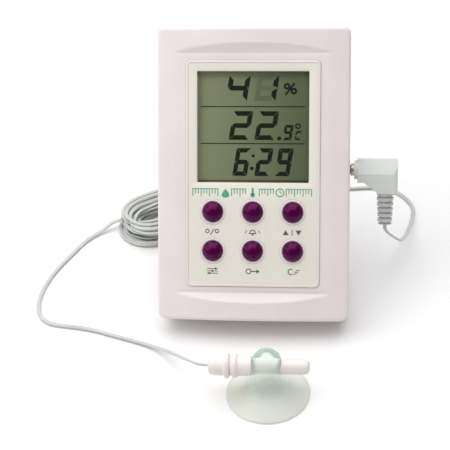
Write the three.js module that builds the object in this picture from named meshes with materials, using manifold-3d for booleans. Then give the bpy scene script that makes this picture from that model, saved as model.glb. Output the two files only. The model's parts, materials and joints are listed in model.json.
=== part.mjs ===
// Digital thermometer, hygrometer and clock with a remote probe on a long lead.
// Millimetres, +Z up. The case leans back on its fold-out stand, and the origin lies at table height
// under the middle of the case and stand. The case's own pieces are drawn in case coordinates:
// u to the right, v up the face, n out of the face, from the case's lower rear edge.

import * as THREE from 'three';
import { mergeVertices } from 'three/addons/utils/BufferGeometryUtils.js';
import Module from 'manifold-3d';

const wasm = await Module();
wasm.setup();

// ---------------------------------------------------------------- driving dimensions

const GAP = 0.3;
const LEAN = THREE.MathUtils.degToRad(35);
const REAR_EDGE_Y = -23.4;
const EDGE_FLAT = 0.9;

const CASE = { halfWidth: 36, height: 110, depth: 20, corner: 4, wall: 1.8, bevel: 1 };
const SPLIT = 10.5;
const INNER = { halfWidth: 34.2, low: 1.8, high: 108.2, corner: 2.2 };
const FRONT_PLATE = { back: 16.2, front: 18.2, pocket: 17.4 };
const RECESS = { halfWidth: 29, low: 12.4, high: 98.4, lowArc: 7, highArc: 103.6 };

const FASCIA = { halfWidth: 25.1, low: 12.9, high: 97.6, corner: 1.8, back: 17.7, front: 18.7 };
const WINDOW = { halfWidth: 20.8, low: 52, high: 93.4 };
const LENS_EDGE = 0.9;
const DISPLAY = { halfWidth: 22, low: 50.9, high: 94.6, back: 13.4, front: 15.2 };
const CARRIER = { halfWidth: 24, low: 49.6, high: 95.1, back: 11.7, front: 15.9 };

const BOARD = { halfWidth: 33.8, low: 11, high: 94.5, back: 10, front: 11.4 };
const BUTTON_U = [-15, 0, 15];
const BUTTON_V = [41.1, 26.4];
const BUTTON = { radius: 3.75, hole: 4.05, flange: 5 };

const CASE_SCREWS = [[-31, 6], [31, 6], [-31, 103], [31, 103]];
const BOARD_SCREWS = [[-29, 15], [29, 15], [-29, 88], [29, 88]];

const WELL = { halfWidth: 24.6, low: 96.3, high: 107.3, roof: 12.75, wall: 0.8 };
const CELL = { radius: 5.25, v: 101.8, n: 7.1, left: -21, right: 23.5 };
const DOOR = { halfWidth: 24.7, low: 96.2, high: 107.4, thick: 1.5 };

const STAND = { halfWidth: 11.3, hingeV: 62, hingeN: 2, length: 58.6, back: 0.9, front: 3.1 };
const STAND_OPEN = THREE.MathUtils.degToRad(63);
const STAND_POCKET = { halfWidth: 11.6, low: 3.2, high: 64, depth: 3.7, wall: 2 };

const BUZZER = { u: 23.9, v: 30, radius: 9.3, soundHoleReach: 3.4 };
const JACK = { v: 56.6, n: 6.6, bore: 2.05, shaft: 1.75 };
const PLUG = { ringStart: 36.4, collarStart: 37.6, bodyStart: 38.8, bodyEnd: 54, axisToRelief: 8.6 };
const PLUG_SWING = THREE.MathUtils.degToRad(10);
const RELIEF = { u: 49.4, top: 3.3, bottom: 2.7, length: 12, ribs: 6 };

const CORD = { width: 1.6, sides: 8, step: 5 };
const HANK = { x: -47.6, y: 25.8, straight: 23, halfWidth: 14.2, bundle: 10, low: 1.2, high: 9.6 };
const HANK_TURN = THREE.MathUtils.degToRad(29);
const KEYHOLE = { v: 81, head: 5, slot: 4, top: 90 };

const PROBE = { y: -66.1, z: 14, left: -14, tip: 22.8 };
const CUP = { x: 7.2, rim: 15.4, hole: 3.05 };

// ---------------------------------------------------------------- materials

function surface(color, roughness, metalness = 0) {
  return new THREE.MeshStandardMaterial({ color, roughness, metalness });
}

const MATERIAL = {
  casePlastic: surface(0xeae1e2, 0.45),
  fascia: surface(0xe6dfd3, 0.5),
  clear: surface(0xdfe8e4, 0.08),
  display: surface(0x747b5b, 0.2),
  reflector: surface(0x9aa080, 0.4),
  whitePlastic: surface(0xf0f0ee, 0.5),
  elastomer: surface(0x3a3a3c, 0.8),
  board: surface(0x2f6b3c, 0.5),
  epoxy: surface(0x121212, 0.35),
  metalCan: surface(0xc4c6c8, 0.3, 0.9),
  brass: surface(0xc9a34a, 0.35, 0.9),
  sensor: surface(0xe8ecf0, 0.5),
  bead: surface(0x1c1c20, 0.4),
  blackPlastic: surface(0x1b1b1d, 0.5),
  silicone: surface(0xb9bcc0, 0.7),
  button: surface(0x490037, 0.35),
  cell: surface(0x35507a, 0.35),
  steel: surface(0xb8babd, 0.35, 0.9),
  nickel: surface(0xb9a98a, 0.25, 1),
  plug: surface(0xc9cdc7, 0.5),
  cord: surface(0xdadbd6, 0.55),
  tie: surface(0xf2f2f0, 0.5),
  probe: surface(0xf0e7e5, 0.45),
  cup: surface(0xcfe0d2, 0.1),
};

// ---------------------------------------------------------------- shape helpers

function solid(geometry) {
  const bare = new THREE.BufferGeometry();
  bare.setAttribute('position', geometry.getAttribute('position').clone());
  if (geometry.index) bare.setIndex(geometry.index.clone());
  const merged = mergeVertices(bare, 1e-4);
  const corners = Array.from(merged.index.array);
  const kept = [];
  for (let i = 0; i < corners.length; i += 3) {
    const [a, b, c] = corners.slice(i, i + 3);
    if (a !== b && b !== c && c !== a) kept.push(a, b, c);
  }
  return new wasm.Manifold(new wasm.Mesh({
    numProp: 3,
    vertProperties: new Float32Array(merged.getAttribute('position').array),
    triVerts: new Uint32Array(kept),
  }));
}

function geometryOf(manifold) {
  const mesh = manifold.getMesh();
  const geometry = new THREE.BufferGeometry();
  geometry.setAttribute('position', new THREE.BufferAttribute(mesh.vertProperties, 3));
  geometry.setIndex(new THREE.BufferAttribute(mesh.triVerts, 1));
  geometry.computeVertexNormals();
  return geometry;
}

function union(...pieces) {
  return pieces.reduce((whole, piece) => whole.add(piece));
}

function cut(body, ...tools) {
  return tools.reduce((rest, tool) => rest.subtract(tool), body);
}

function box(u0, u1, v0, v1, n0, n1) {
  const geometry = new THREE.BoxGeometry(u1 - u0, v1 - v0, n1 - n0);
  return solid(geometry.translate((u0 + u1) / 2, (v0 + v1) / 2, (n0 + n1) / 2));
}

function roundedOutline(u0, u1, v0, v1, r) {
  const outline = new THREE.Shape();
  outline.absarc(u1 - r, v0 + r, r, -Math.PI / 2, 0);
  outline.absarc(u1 - r, v1 - r, r, 0, Math.PI / 2);
  outline.absarc(u0 + r, v1 - r, r, Math.PI / 2, Math.PI);
  outline.absarc(u0 + r, v0 + r, r, Math.PI, 1.5 * Math.PI);
  outline.closePath();
  return outline;
}

function plate(outline, n0, n1, bevel = 0) {
  const geometry = new THREE.ExtrudeGeometry(outline, {
    depth: n1 - n0 - 2 * bevel,
    curveSegments: 5,
    bevelEnabled: bevel > 0,
    bevelThickness: bevel,
    bevelSize: bevel,
    bevelOffset: -bevel,
    bevelSegments: 1,
  });
  return solid(geometry.translate(0, 0, n0 + bevel));
}

function roundedPlate(halfWidth, low, high, r, n0, n1) {
  return plate(roundedOutline(-halfWidth, halfWidth, low, high, r), n0, n1);
}

function lathe(profile, sides) {
  return new THREE.LatheGeometry(profile.map(([r, h]) => new THREE.Vector2(r, h)), sides);
}

// Turned solids: the profile is a list of [radius, height] from the axis back to the axis.
function turnedN(profile, u, v, sides = 20) {
  return solid(lathe(profile, sides).rotateX(Math.PI / 2).translate(u, v, 0));
}

function turnedU(profile, v, n, sides = 20) {
  return solid(lathe(profile, sides).rotateZ(-Math.PI / 2).translate(0, v, n));
}

function rodN(radius, n0, n1, u, v, sides = 20) {
  return turnedN([[0, n0], [radius, n0], [radius, n1], [0, n1]], u, v, sides);
}

function rodU(radius, u0, u1, v, n, sides = 16) {
  return turnedU([[0, u0], [radius, u0], [radius, u1], [0, u1]], v, n, sides);
}

function part(parent, name, shape, material) {
  const mesh = new THREE.Mesh(geometryOf(shape), material);
  mesh.name = name;
  parent.add(mesh);
  return mesh;
}

// ---------------------------------------------------------------- case

function buttonHoles(radius, n0, n1) {
  return BUTTON_V.flatMap((v) => BUTTON_U.map((u) => rodN(radius, n0, n1, u, v, 16)));
}

function recessOutline() {
  const outline = new THREE.Shape();
  outline.moveTo(-RECESS.halfWidth, RECESS.low);
  outline.quadraticCurveTo(0, 2 * RECESS.lowArc - RECESS.low, RECESS.halfWidth, RECESS.low);
  outline.lineTo(RECESS.halfWidth, RECESS.high);
  outline.quadraticCurveTo(0, 2 * RECESS.highArc - RECESS.high, -RECESS.halfWidth, RECESS.high);
  outline.closePath();
  return outline;
}

function caseBlock(n0, n1) {
  const { halfWidth, height, corner, depth, bevel } = CASE;
  const whole = plate(roundedOutline(-halfWidth, halfWidth, 0, height, corner), 0, depth, bevel);
  return whole.intersect(box(-halfWidth - 1, halfWidth + 1, -1, height + 1, n0, n1));
}

function frontCase() {
  const { halfWidth, low, high, corner } = INNER;
  const shell = cut(
    caseBlock(SPLIT + GAP / 2, CASE.depth),
    roundedPlate(halfWidth, low, high, corner, SPLIT - 1, FRONT_PLATE.back),
    plate(recessOutline(), FRONT_PLATE.front, CASE.depth + 1),
    roundedPlate(FASCIA.halfWidth + GAP, FASCIA.low - GAP, FASCIA.high + GAP, FASCIA.corner,
      FRONT_PLATE.pocket, CASE.depth + 1),
    box(-WINDOW.halfWidth - 1.2, WINDOW.halfWidth + 1.2, WINDOW.low - 1.2, WINDOW.high + 1.2,
      FRONT_PLATE.back - 1, FRONT_PLATE.front + 1),
    ...buttonHoles(BUTTON.hole, FRONT_PLATE.back - 1, FRONT_PLATE.front + 1),
  );
  const caseBosses = CASE_SCREWS.map(([u, v]) => (
    rodN(3.4, SPLIT + GAP / 2, FRONT_PLATE.back + 0.5, u, v, 12)
  ));
  const boardBosses = BOARD_SCREWS.map(([u, v]) => (
    rodN(2.6, BOARD.front + GAP, FRONT_PLATE.back + 0.5, u, v, 10)
  ));
  const casePilots = CASE_SCREWS.map(([u, v]) => rodN(1.6, SPLIT - 1, 15.2, u, v, 10));
  const boardPilots = BOARD_SCREWS.map(([u, v]) => rodN(1.3, BOARD.front - 1, 15.2, u, v, 8));
  return cut(union(shell, ...caseBosses, ...boardBosses), ...casePilots, ...boardPilots);
}

function fasciaPanel() {
  return cut(
    roundedPlate(FASCIA.halfWidth, FASCIA.low, FASCIA.high, FASCIA.corner - GAP, FASCIA.back, FASCIA.front),
    box(-WINDOW.halfWidth, WINDOW.halfWidth, WINDOW.low, WINDOW.high, FASCIA.back - 1, FASCIA.front + 1),
    ...buttonHoles(BUTTON.hole, FASCIA.back - 1, FASCIA.front + 1),
  );
}

function rearShell() {
  const { halfWidth, low, high, corner } = INNER;
  const hollow = roundedPlate(halfWidth, low, high, corner, CASE.wall, SPLIT);
  return cut(caseBlock(0, SPLIT - GAP / 2), hollow);
}

function standPocketBlock() {
  const { halfWidth, wall, depth, high } = STAND_POCKET;
  return box(-halfWidth - wall, halfWidth + wall, 1, high + CASE.wall, 0.5, depth + 1.6);
}

function standPocketHollow() {
  const { halfWidth, low, high, depth } = STAND_POCKET;
  return union(
    box(-halfWidth, halfWidth, low, high, -1, depth),
    rodU(1.3, -13.3, 13.3, STAND.hingeV, STAND.hingeN),
    box(-3, 3, low - 2.2, low + 1, -1, 1.5),
  );
}

function batteryWellBlock() {
  const { halfWidth, wall, low, roof } = WELL;
  const side = halfWidth + wall;
  return union(
    box(-side, side, low - wall, CASE.height - 1, 1, SPLIT - GAP / 2),
    box(-side, side, low - wall, 107.9, 1, roof + wall),
  );
}

function batteryWellHollow() {
  const { halfWidth, low, high, roof } = WELL;
  return union(
    box(-halfWidth, halfWidth, low, high, 1, roof),
    box(-25, 25, 95.9, 107.7, -1, CASE.wall),
    box(-22.3, -17.7, 94, 98, CASE.wall - 0.5, 6),
    box(17.7, 22.3, 94, 98, CASE.wall - 0.5, 6),
    box(-5, 5, 107, 108.8, -1, 1),
  );
}

function rearOpenings() {
  const holes = [
    rodN(KEYHOLE.head, -1, 3, 0, KEYHOLE.v, 16),
    box(-KEYHOLE.slot / 2, KEYHOLE.slot / 2, KEYHOLE.v, KEYHOLE.top, -1, 3),
    rodU(3.1, 33, 37, JACK.v, JACK.n, 12),
  ];
  for (let i = 0; i < 7; i += 1) {
    const angle = (i * Math.PI) / 3;
    const reach = i < 6 ? BUZZER.soundHoleReach : 0;
    holes.push(rodN(0.9, -1, 3, BUZZER.u + reach * Math.cos(angle), BUZZER.v + reach * Math.sin(angle), 8));
  }
  for (let i = 0; i < 5; i += 1) {
    const v = 22 + 3.4 * i;
    holes.push(box(-29, -17, v, v + 1.4, -1, 3));
  }
  return holes;
}

// Everything below the table, in case coordinates: it trims a flat rest on the lower rear edge
// and on the foot of the open stand.
function belowTable(height) {
  const slab = new THREE.BoxGeometry(100, 200, 20).translate(0, 60, height - 10);
  return solid(slab.translate(0, -REAR_EDGE_Y, EDGE_FLAT).rotateX(LEAN - Math.PI / 2));
}

function rearCover() {
  const posts = CASE_SCREWS.map(([u, v]) => rodN(3.4, 1, SPLIT - GAP / 2, u, v, 12));
  const holes = CASE_SCREWS.map(([u, v]) => (
    turnedN([[0, -1], [2.7, -1], [2.7, 4], [1.6, 4], [1.6, SPLIT + 1], [0, SPLIT + 1]], u, v, 12)
  ));
  const walls = union(rearShell(), standPocketBlock(), batteryWellBlock(), ...posts);
  const { u, v, radius } = BUZZER;
  const buzzerRing = cut(
    rodN(radius + 1.1, 1, 3.4, u, v),
    rodN(radius + GAP, CASE.wall, 4, u, v),
  );
  return cut(
    union(walls, buzzerRing),
    standPocketHollow(),
    batteryWellHollow(),
    ...rearOpenings(),
    ...holes,
    belowTable(0),
  );
}

function batteryDoor() {
  const { halfWidth, low, high, thick } = DOOR;
  const hook = (u) => union(
    box(u - 2, u + 2, low, low + 0.8, thick - 0.5, 2.9),
    box(u - 2, u + 2, low - 1.8, low + 0.8, 2.1, 2.9),
  );
  const grip = [0, 1, 2].map((i) => box(-4, 4, 103 + 1.2 * i, 103.5 + 1.2 * i, -1, 0.5));
  return cut(union(box(-halfWidth, halfWidth, low, high, 0, thick), hook(-20), hook(20)), ...grip);
}

function stand() {
  const { halfWidth, hingeV, hingeN, length, back, front } = STAND;
  const foot = hingeV - length;
  const leg = cut(
    plate(roundedOutline(-halfWidth, halfWidth, foot, hingeV, 1.5), back, front),
    plate(roundedOutline(-8, 8, foot + 8, hingeV - 8, 2), front - 0.8, front + 1),
  );
  const barrel = rodU(1.4, -halfWidth, halfWidth, hingeV, hingeN, 12);
  const trunnions = rodU(1, -13, 13, hingeV, hingeN, 12);
  return union(leg, barrel, trunnions);
}

// The open stand: the folded leg turned about its hinge, with its foot trimmed flat at the table.
function openStand() {
  const swing = new THREE.Matrix4()
    .makeTranslation(0, STAND.hingeV, STAND.hingeN)
    .multiply(new THREE.Matrix4().makeRotationX(STAND_OPEN))
    .multiply(new THREE.Matrix4().makeTranslation(0, -STAND.hingeV, -STAND.hingeN));
  const leg = geometryOf(stand()).applyMatrix4(swing);
  return cut(solid(leg), belowTable(0));
}

function screw(u, v, headRadius, headLow, headHigh, shankRadius, tip) {
  const body = turnedN([
    [0, headLow], [headRadius, headLow], [headRadius, headHigh], [shankRadius, headHigh],
    [shankRadius, tip - 1], [0, tip],
  ], u, v, 10);
  const slot = headRadius * 0.6;
  return cut(
    body,
    box(u - slot, u + slot, v - 0.3, v + 0.3, headLow - 1, headLow + 0.7),
    box(u - 0.3, u + 0.3, v - slot, v + slot, headLow - 1, headLow + 0.7),
  );
}

// ---------------------------------------------------------------- display, board and buttons

function lcdWindow() {
  const { halfWidth, low, high } = WINDOW;
  return box(-halfWidth - LENS_EDGE, halfWidth + LENS_EDGE, low - LENS_EDGE, high + LENS_EDGE,
    FRONT_PLATE.back, FRONT_PLATE.pocket);
}

function lcdGlass() {
  const { halfWidth, low, high, back, front } = DISPLAY;
  const middle = (back + front) / 2;
  return union(
    box(-halfWidth, halfWidth, low, high, back, middle),
    box(-halfWidth, halfWidth, low + 2, high, middle - 0.1, front),
  );
}

function lcdCarrier() {
  const { halfWidth, low, high, back, front } = CARRIER;
  const glass = DISPLAY;
  return cut(
    roundedPlate(halfWidth, low, high, 1, back, front),
    box(-glass.halfWidth - GAP, glass.halfWidth + GAP, glass.low - GAP, glass.high + GAP / 2,
      back - 1, front - 0.4),
    box(-WINDOW.halfWidth, WINDOW.halfWidth, WINDOW.low, WINDOW.high, back, front + 1),
  );
}

function buttonCap(u, v) {
  return turnedN([
    [0, 14], [3, 14], [3, 15], [BUTTON.flange, 15], [BUTTON.flange, 15.8], [BUTTON.radius, 15.8],
    [BUTTON.radius, 19.3], [3.3, 20.4], [0, 21],
  ], u, v, 16);
}

function keypadMembrane() {
  const pads = BUTTON_V.flatMap((v) => BUTTON_U.map((u) => rodN(3.2, 12, 12.7, u, v, 10)));
  return union(roundedPlate(21, 20, 47.3, 2, BOARD.front + GAP, 12.4), ...pads);
}

function circuitBoard() {
  const holes = BOARD_SCREWS.map(([u, v]) => rodN(1.4, BOARD.back - 1, BOARD.front + 1, u, v, 12));
  return cut(roundedPlate(BOARD.halfWidth, BOARD.low, BOARD.high, 1, BOARD.back, BOARD.front), ...holes);
}

function epoxyBlob() {
  return turnedN([[0, 7.9], [3, 8.1], [5.2, 8.8], [6, 9.7], [0, 9.7]], 0, 72, 16);
}

function humiditySensor() {
  const slots = [0, 1, 2].map((i) => box(-26, -19, 23 + 2.4 * i, 24.2 + 2.4 * i, 5, 6.5));
  return cut(box(-28, -17, 21.5, 30.5, 5.6, BOARD.back - GAP), ...slots);
}

function roomThermistor() {
  return turnedN([
    [0, 5.2], [0.9, 5.6], [1.3, 6.5], [0.9, 7.6], [0.35, 8.2], [0.35, 9.7], [0, 9.7],
  ], -24, 40, 10);
}

function jackSocket() {
  const { v, n, bore } = JACK;
  return cut(
    union(box(20.5, 33.8, v - 4.5, v + 4.5, 2.4, BOARD.back - GAP), rodU(2.8, 33, 36, v, n)),
    rodU(bore, 21.3, 37, v, n),
  );
}

// ---------------------------------------------------------------- battery

function batteryCell() {
  const { radius, v, n, left, right } = CELL;
  return turnedU([
    [0, left], [4.2, left], [radius, left + 0.5], [radius, right - 1.6], [radius - 0.6, right - 0.9],
    [1.9, right - 0.9], [1.9, right], [0, right],
  ], v, n, 16);
}

class ConeCoil extends THREE.Curve {
  getPoint(t, target = new THREE.Vector3()) {
    const angle = t * 2.5 * 2 * Math.PI;
    const radius = 3.6 - 1.8 * t;
    const u = -23.9 + 2.2 * t;
    return target.set(u, CELL.v + radius * Math.cos(angle), CELL.n + radius * Math.sin(angle));
  }
}

function contactSpring() {
  const wire = new THREE.Shape().absarc(0, 0, 0.35, 0, 2 * Math.PI);
  return solid(new THREE.ExtrudeGeometry(wire, { steps: 30, extrudePath: new ConeCoil(), curveSegments: 2 }));
}

// ---------------------------------------------------------------- plug, lead and probe

function plugSleeve() {
  return turnedU([
    [0, 28.2], [JACK.shaft, 28.2], [JACK.shaft, PLUG.ringStart], [2.4, PLUG.ringStart],
    [2.4, PLUG.collarStart - GAP], [0, PLUG.collarStart - GAP],
  ], 0, 0, 16);
}

function plugInsulator() {
  return rodU(JACK.shaft - 0.05, 27.2, 27.9, 0, 0, 16);
}

function plugTip() {
  return turnedU([
    [0, 22.4], [0.6, 22.6], [1.6, 24.2], [1.1, 25], [JACK.shaft, 25.8], [JACK.shaft, 26.9], [0, 26.9],
  ], 0, 0, 16);
}

// What the bevel takes off the plug body's far end, on its front (1) or its back (-1).
function endBevel(side) {
  const corner = new THREE.Shape();
  corner.moveTo(PLUG.bodyEnd - 2.2, 4.5 * side);
  corner.lineTo(PLUG.bodyEnd + 1.3, 4.5 * side);
  corner.lineTo(PLUG.bodyEnd + 1.3, side);
  corner.closePath();
  const wedge = new THREE.ExtrudeGeometry(corner, { depth: 20, bevelEnabled: false });
  return solid(wedge.rotateX(Math.PI / 2).translate(0, 6, 0));
}

// Plug coordinates: the shaft runs along u through the origin and the lead leaves downwards.
function plugBody() {
  const section = new THREE.Shape();
  section.moveTo(-3.4, -PLUG.axisToRelief);
  section.lineTo(3.4, -PLUG.axisToRelief);
  section.lineTo(3.6, -1);
  section.lineTo(1.4, 4.2);
  section.lineTo(-1.4, 4.2);
  section.lineTo(-3.6, -1);
  section.closePath();
  const length = PLUG.bodyEnd - PLUG.bodyStart;
  const block = new THREE.ExtrudeGeometry(section, { depth: length, bevelEnabled: false })
    .rotateY(Math.PI / 2)
    .translate(PLUG.bodyStart, 0, 0);
  const side = new THREE.Shape();
  side.moveTo(PLUG.bodyStart - 1, -4.3);
  side.lineTo(PLUG.bodyStart + 2.4, -4.3);
  side.lineTo(RELIEF.u - RELIEF.top, -8);
  side.lineTo(RELIEF.u - RELIEF.top, -PLUG.axisToRelief - 1);
  side.lineTo(PLUG.bodyStart - 1, -PLUG.axisToRelief - 1);
  side.closePath();
  const right = box(RELIEF.u + RELIEF.top + 0.9, PLUG.bodyEnd + 1, -12, -7.6, -5, 5);
  const collar = rodU(3.6, PLUG.collarStart, PLUG.bodyStart + 0.5, 0, 0, 20);
  return union(cut(solid(block), plate(side, -5, 5), right, endBevel(1), endBevel(-1)), collar);
}

function strainRelief() {
  const start = PLUG.axisToRelief + GAP;
  const pitch = RELIEF.length / RELIEF.ribs;
  const profile = [[0, -start - RELIEF.length]];
  for (let i = RELIEF.ribs; i > 0; i -= 1) {
    const radius = RELIEF.top + ((RELIEF.bottom - RELIEF.top) * i) / RELIEF.ribs;
    const low = -start - i * pitch;
    profile.push([radius, low], [radius, low + 0.6 * pitch]);
    profile.push([radius - 0.5, low + 0.6 * pitch], [radius - 0.5, low + pitch]);
  }
  profile.push([0, -start]);
  return solid(lathe(profile, 10).translate(RELIEF.u, 0, 0));
}

function cordTube(route) {
  const points = route.map(([x, y, z]) => new THREE.Vector3(x, y, z));
  const curve = new THREE.CatmullRomCurve3(points, false, 'centripetal');
  const section = new THREE.Shape().absarc(0, 0, CORD.width / 2, 0, 2 * Math.PI);
  const steps = Math.round(curve.getLength() / CORD.step);
  const curveSegments = CORD.sides / 2;
  return solid(new THREE.ExtrudeGeometry(section, { steps, extrudePath: curve, curveSegments }));
}

// From the strain relief down to the table, round a bend and behind the stand's foot to the hank.
const PLUG_SIDE_ROUTE = [
  [49.4, -5.3, 29.9], [49.5, -6.1, 28.2], [50.5, -5.8, 26.2], [52, -4.4, 23.6], [53.9, -2, 20],
  [55.7, 1.6, 16], [57.5, 8.3, 11.8], [59.1, 16.9, 7.6], [60.5, 25.7, 4], [61.5, 33.4, 1.7],
  [61.7, 39, 0.9], [60.2, 43.3, 0.9], [57.4, 47.2, 0.9], [54, 50.2, 0.9], [49.4, 52, 0.9],
  [43, 52.6, 0.9], [36, 51.9, 0.9], [27, 50.2, 0.9], [16, 48, 0.9], [5, 47, 0.9], [-4, 48.3, 1.1],
  [-12, 50.3, 1.7], [-18, 51.5, 2.5], [-23.5, 51.8, 3.4],
];

// From the hank's left end, forward past the case and up into the probe's end cap.
const PROBE_SIDE_ROUTE = [
  [-62.9, 24.9, 3.2], [-66.6, 22.2, 1.6], [-72.4, 16.5, 0.9], [-77.6, 7.3, 0.9], [-82.6, -3.1, 0.9],
  [-85, -10.7, 0.9], [-86, -17.1, 0.9], [-85.8, -23.1, 0.9], [-83.8, -29.1, 0.9], [-80, -32.5, 0.9],
  [-74.5, -33.9, 0.9], [-68, -34.8, 0.9], [-60.8, -36.4, 0.9], [-53, -39, 0.9], [-45.3, -41.6, 0.9],
  [-39.2, -44.1, 1.3], [-33.6, -47.5, 2.6], [-28.6, -52.1, 5], [-24.4, -57.3, 8.2], [-20.8, -61.9, 11.4],
  [-17.8, -65.1, 13.4], [-14.3, -66.1, 14],
];

function hankOutline(inset) {
  const radius = HANK.halfWidth - inset;
  return roundedOutline(-radius, HANK.straight + radius, -radius, radius, radius - 0.01);
}

// The hank is drawn along u from the middle of its left bend, then turned and laid in its place.
function laid(shape) {
  return solid(geometryOf(shape).rotateZ(HANK_TURN).translate(HANK.x, HANK.y, 0));
}

function cordHank() {
  const outer = plate(hankOutline(0), HANK.low, HANK.high);
  const hole = plate(hankOutline(HANK.bundle), HANK.low - 1, HANK.high + 1);
  return laid(cut(outer, hole));
}

function hankTie() {
  const thick = 0.8;
  const reach = HANK.halfWidth + GAP;
  const low = HANK.low - GAP;
  const high = HANK.high + GAP;
  const { straight } = HANK;
  return laid(cut(
    box(straight - 2.5, straight + 2.5, -reach - thick, reach + thick, low - thick, high + thick),
    box(straight - 3.5, straight + 3.5, -reach, reach, low, high),
  ));
}

function onProbeAxis(profile, sides = 16) {
  return turnedU(profile, PROBE.y, PROBE.z, sides);
}

function probeCap() {
  const { left } = PROBE;
  return onProbeAxis([
    [0, left], [2.4, left], [3.4, left + 0.7], [3.75, left + 1.8], [3.75, left + 5.2], [4.1, left + 5.7],
    [4.7, left + 6], [4.7, left + 7.4], [4.2, left + 7.9], [1.6, left + 7.9], [1.6, left + 11],
    [0, left + 11],
  ]);
}

function probeTube() {
  const { left, tip } = PROBE;
  const outside = onProbeAxis([
    [0, left + 8.2], [4.1, left + 8.2], [4.5, left + 8.7], [4.5, left + 10.2], [4.1, left + 10.8],
    [3.85, left + 11.4], [3.85, left + 15.4], [2.75, left + 15.8], [2.75, tip - 1.6], [2.3, tip - 0.5],
    [1.4, tip], [0, tip],
  ]);
  return cut(outside, onProbeAxis([[0, left + 7], [1.9, left + 7], [1.9, tip - 1.4], [0, tip - 1.4]], 14));
}

function probeThermistor() {
  return onProbeAxis([[0, 14], [0.8, 14.2], [1.2, 15.4], [1.2, 17.6], [0.7, 18.6], [0, 18.8]], 10);
}

function suctionCup() {
  const profile = [
    [0, 3.4], [8, 2.4], [13.2, 0], [CUP.rim, 0], [CUP.rim, 0.6], [10.5, 3.1], [5.9, 5.4], [5.5, 7.8],
    [4.9, 9], [5.6, 11.4], [5.8, 14.6], [5.1, 18], [3, 20.5], [0, 21.2],
  ];
  const upright = lathe(profile, 24).rotateX(Math.PI / 2).translate(CUP.x, PROBE.y, 0);
  return cut(solid(upright), rodU(CUP.hole, -20, 40, PROBE.y, PROBE.z, 16));
}

// ---------------------------------------------------------------- assembly

const model = new THREE.Group();

const caseGroup = new THREE.Group();
caseGroup.position.set(0, REAR_EDGE_Y, -EDGE_FLAT);
caseGroup.rotation.x = Math.PI / 2 - LEAN;
model.add(caseGroup);

part(caseGroup, 'front_case', frontCase(), MATERIAL.casePlastic);
part(caseGroup, 'rear_cover', rearCover(), MATERIAL.casePlastic);
part(caseGroup, 'fascia_panel', fasciaPanel(), MATERIAL.fascia);
part(caseGroup, 'lcd_window', lcdWindow(), MATERIAL.clear);
part(caseGroup, 'lcd_glass', lcdGlass(), MATERIAL.display);
part(caseGroup, 'lcd_reflector', box(-21, 21, 53.8, 94, 12.7, 13.1), MATERIAL.reflector);
part(caseGroup, 'lcd_carrier', lcdCarrier(), MATERIAL.whitePlastic);
part(caseGroup, 'zebra_strip', box(-21, 21, 51.2, 53, 11.7, 13.1), MATERIAL.elastomer);
part(caseGroup, 'circuit_board', circuitBoard(), MATERIAL.board);
part(caseGroup, 'ic_epoxy', epoxyBlob(), MATERIAL.epoxy);
part(caseGroup, 'clock_crystal', rodU(1.1, 8, 14, 74, 8.5, 12), MATERIAL.metalCan);
part(caseGroup, 'buzzer', rodN(BUZZER.radius, 2.1, 3.1, BUZZER.u, BUZZER.v), MATERIAL.brass);
part(caseGroup, 'humidity_sensor', humiditySensor(), MATERIAL.sensor);
part(caseGroup, 'room_thermistor', roomThermistor(), MATERIAL.bead);
part(caseGroup, 'jack_socket', jackSocket(), MATERIAL.blackPlastic);
part(caseGroup, 'keypad_membrane', keypadMembrane(), MATERIAL.silicone);

BUTTON_V.forEach((v, row) => {
  BUTTON_U.forEach((u, column) => {
    part(caseGroup, `button_${row * 3 + column + 1}`, buttonCap(u, v), MATERIAL.button);
  });
});

part(caseGroup, 'battery', batteryCell(), MATERIAL.cell);
part(caseGroup, 'contact_spring', contactSpring(), MATERIAL.steel);
part(caseGroup, 'contact_plate', box(23.8, 24.3, 97.8, 105.8, 3, 11), MATERIAL.steel);
part(caseGroup, 'battery_door', batteryDoor(), MATERIAL.casePlastic);
part(caseGroup, 'stand', openStand(), MATERIAL.casePlastic);

CASE_SCREWS.forEach(([u, v], i) => {
  part(caseGroup, `case_screw_${i + 1}`, screw(u, v, 2.3, 2, 3.7, 1.3, 14.6), MATERIAL.steel);
});
BOARD_SCREWS.forEach(([u, v], i) => {
  part(caseGroup, `board_screw_${i + 1}`, screw(u, v, 2, 8.4, 9.7, 1, 14.6), MATERIAL.steel);
});

const plugGroup = new THREE.Group();
plugGroup.position.set(0, JACK.v, JACK.n);
plugGroup.rotation.x = PLUG_SWING;
caseGroup.add(plugGroup);

part(plugGroup, 'plug_sleeve', plugSleeve(), MATERIAL.nickel);
part(plugGroup, 'plug_insulator', plugInsulator(), MATERIAL.blackPlastic);
part(plugGroup, 'plug_tip', plugTip(), MATERIAL.nickel);
part(plugGroup, 'plug_body', plugBody(), MATERIAL.plug);
part(plugGroup, 'plug_strain_relief', strainRelief(), MATERIAL.plug);

part(model, 'cord_plug_side', cordTube(PLUG_SIDE_ROUTE), MATERIAL.cord);
part(model, 'cord_hank', cordHank(), MATERIAL.cord);
part(model, 'hank_tie', hankTie(), MATERIAL.tie);
part(model, 'cord_probe_side', cordTube(PROBE_SIDE_ROUTE), MATERIAL.cord);

part(model, 'probe_cap', probeCap(), MATERIAL.probe);
part(model, 'probe_tube', probeTube(), MATERIAL.probe);
part(model, 'probe_thermistor', probeThermistor(), MATERIAL.bead);
part(model, 'suction_cup', suctionCup(), MATERIAL.cup);

export default model;
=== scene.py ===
"""Digital thermometer, hygrometer and clock with a remote probe: the looks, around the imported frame."""
import json
import math
import random

import bmesh
import bpy
import numpy as np
from mathutils import Matrix, Vector
from mathutils.geometry import delaunay_2d_cdt


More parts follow.
